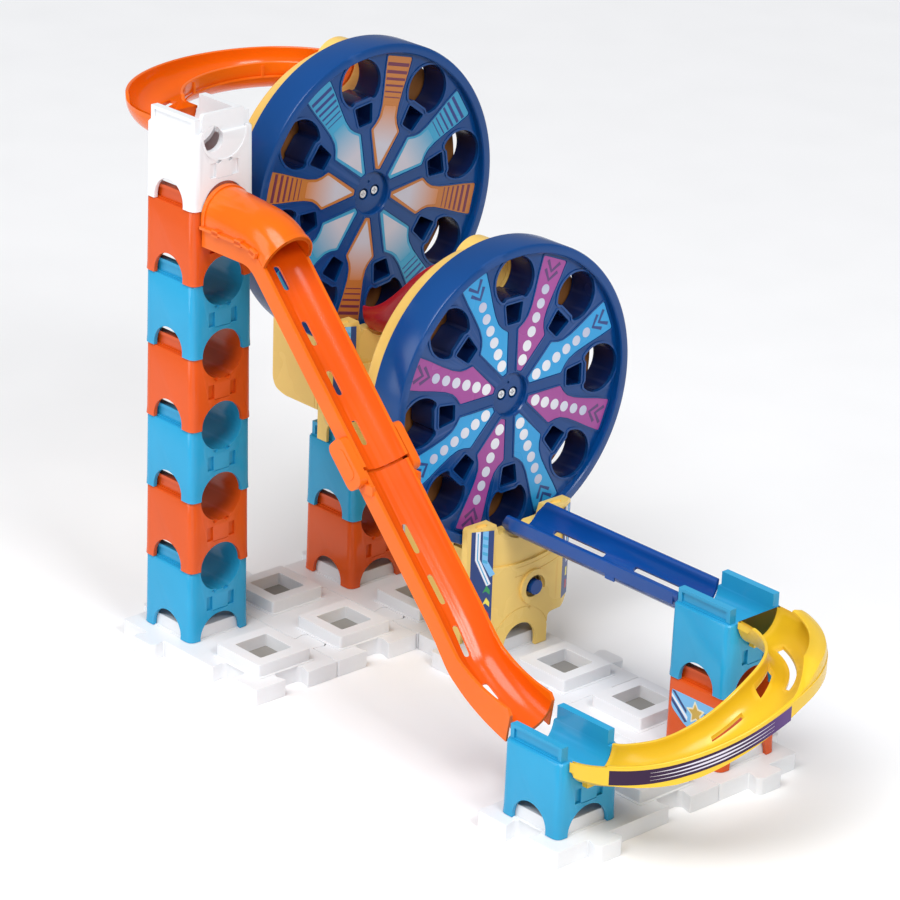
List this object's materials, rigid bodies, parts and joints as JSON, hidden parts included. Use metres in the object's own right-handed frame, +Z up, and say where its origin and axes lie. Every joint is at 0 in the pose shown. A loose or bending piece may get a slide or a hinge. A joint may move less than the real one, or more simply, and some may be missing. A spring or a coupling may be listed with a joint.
{
  "type": "marble run",
  "caption": "Tabletop marble run: stacked tower blocks on interlocking base tiles, a steep two-piece ramp, banked bends and geared lifting wheels that carry marbles up.",
  "frame": {"origin": "under the middle of the tall tower's cell, on the underside of the base", "axes": "+X along the base from the tall tower to the low tower, +Y across the base towards the lifting wheels' row, +Z up"},
  "size_m": [0.5522, 0.2808, 0.3801],
  "materials": {
    "white": "white moulded plastic, satin",
    "sky_blue": "glossy",
    "orange": "glossy",
    "ramp_orange": "glossy",
    "yellow": "glossy",
    "deep_yellow": "glossy",
    "wheel_blue": "glossy",
    "navy": "glossy",
    "red": "glossy",
    "steel": "zinc-plated"
  },
  "bodies": {
    "stand_and_tracks": {"base_tile_1": "white", "base_tile_2": "white", "base_tile_3": "white", "base_tile_4": "white", "base_tile_5": "white", "base_tile_6": "white", "tower_a_block_1": "sky_blue", "tower_a_block_2": "orange", "tower_a_block_3": "sky_blue", "tower_a_block_4": "orange", "tower_a_block_5": "sky_blue", "tower_a_block_6": "orange", "tower_a_drop_block": "white", "tower_b_block_1": "orange", "tower_b_block_2": "sky_blue", "tower_c_block_1": "sky_blue", "tower_d_block_1": "orange", "tower_d_block_2": "sky_blue", "chute_hood": "ramp_orange", "ramp_upper": "ramp_orange", "ramp_lower": "ramp_orange", "top_bend": "ramp_orange", "yellow_bend": "deep_yellow", "blue_track": "navy", "red_chute": "red", "upper_lift_stand": "yellow", "upper_lift_drum_plate": "yellow", "upper_lift_drum_cover": "yellow", "lower_lift_stand": "yellow", "lower_lift_drum_plate": "yellow", "lower_lift_drum_cover": "yellow"},
    "upper_lift_wheel_body": {"upper_lift_wheel": "wheel_blue", "upper_lift_wheel_gear": "navy", "upper_lift_hub_screw_1": "steel", "upper_lift_hub_screw_2": "steel"},
    "upper_lift_upper_idler_body": {"upper_lift_upper_idler": "white"},
    "upper_lift_lower_idler_body": {"upper_lift_lower_idler": "white"},
    "upper_lift_crank_shaft_body": {"upper_lift_crank_shaft": "navy"},
    "lower_lift_wheel_body": {"lower_lift_wheel": "wheel_blue", "lower_lift_wheel_gear": "navy", "lower_lift_hub_screw_1": "steel", "lower_lift_hub_screw_2": "steel"},
    "lower_lift_upper_idler_body": {"lower_lift_upper_idler": "white"},
    "lower_lift_lower_idler_body": {"lower_lift_lower_idler": "white"},
    "lower_lift_crank_shaft_body": {"lower_lift_crank_shaft": "navy"}
  },
  "joints": [
    {"name": "upper_lift_wheel_spin", "type": "hinge", "parent": "stand_and_tracks", "child": "upper_lift_wheel_body", "pos_m": [0, 0.136, 0.2801], "axis": [1, 0, 0], "continuous": true},
    {"name": "upper_lift_upper_idler_spin", "type": "hinge", "parent": "stand_and_tracks", "child": "upper_lift_upper_idler_body", "pos_m": [0, 0.14135, 0.21131], "axis": [1, 0, 0], "continuous": true},
    {"name": "upper_lift_lower_idler_spin", "type": "hinge", "parent": "stand_and_tracks", "child": "upper_lift_lower_idler_body", "pos_m": [0, 0.14367, 0.1814], "axis": [1, 0, 0], "continuous": true},
    {"name": "upper_lift_crank_shaft_spin", "type": "hinge", "parent": "stand_and_tracks", "child": "upper_lift_crank_shaft_body", "pos_m": [0, 0.146, 0.15149], "axis": [1, 0, 0], "continuous": true},
    {"name": "lower_lift_wheel_spin", "type": "hinge", "parent": "stand_and_tracks", "child": "lower_lift_wheel_body", "pos_m": [0.136, 0.136, 0.1829], "axis": [1, 0, 0], "continuous": true},
    {"name": "lower_lift_upper_idler_spin", "type": "hinge", "parent": "stand_and_tracks", "child": "lower_lift_upper_idler_body", "pos_m": [0.136, 0.14135, 0.11411], "axis": [1, 0, 0], "continuous": true},
    {"name": "lower_lift_lower_idler_spin", "type": "hinge", "parent": "stand_and_tracks", "child": "lower_lift_lower_idler_body", "pos_m": [0.136, 0.14367, 0.0842], "axis": [1, 0, 0], "continuous": true},
    {"name": "lower_lift_crank_shaft_spin", "type": "hinge", "parent": "stand_and_tracks", "child": "lower_lift_crank_shaft_body", "pos_m": [0.136, 0.146, 0.05429], "axis": [1, 0, 0], "continuous": true}
  ],
  "couplings": [
    {"joint": "upper_lift_upper_idler_spin", "follows": "upper_lift_wheel_spin", "ratio": -3.6},
    {"joint": "upper_lift_lower_idler_spin", "follows": "upper_lift_wheel_spin", "ratio": 3.6},
    {"joint": "upper_lift_crank_shaft_spin", "follows": "upper_lift_wheel_spin", "ratio": -3.6},
    {"joint": "lower_lift_upper_idler_spin", "follows": "lower_lift_wheel_spin", "ratio": -3.6},
    {"joint": "lower_lift_lower_idler_spin", "follows": "lower_lift_wheel_spin", "ratio": 3.6},
    {"joint": "lower_lift_crank_shaft_spin", "follows": "lower_lift_wheel_spin", "ratio": -3.6}
  ]
}
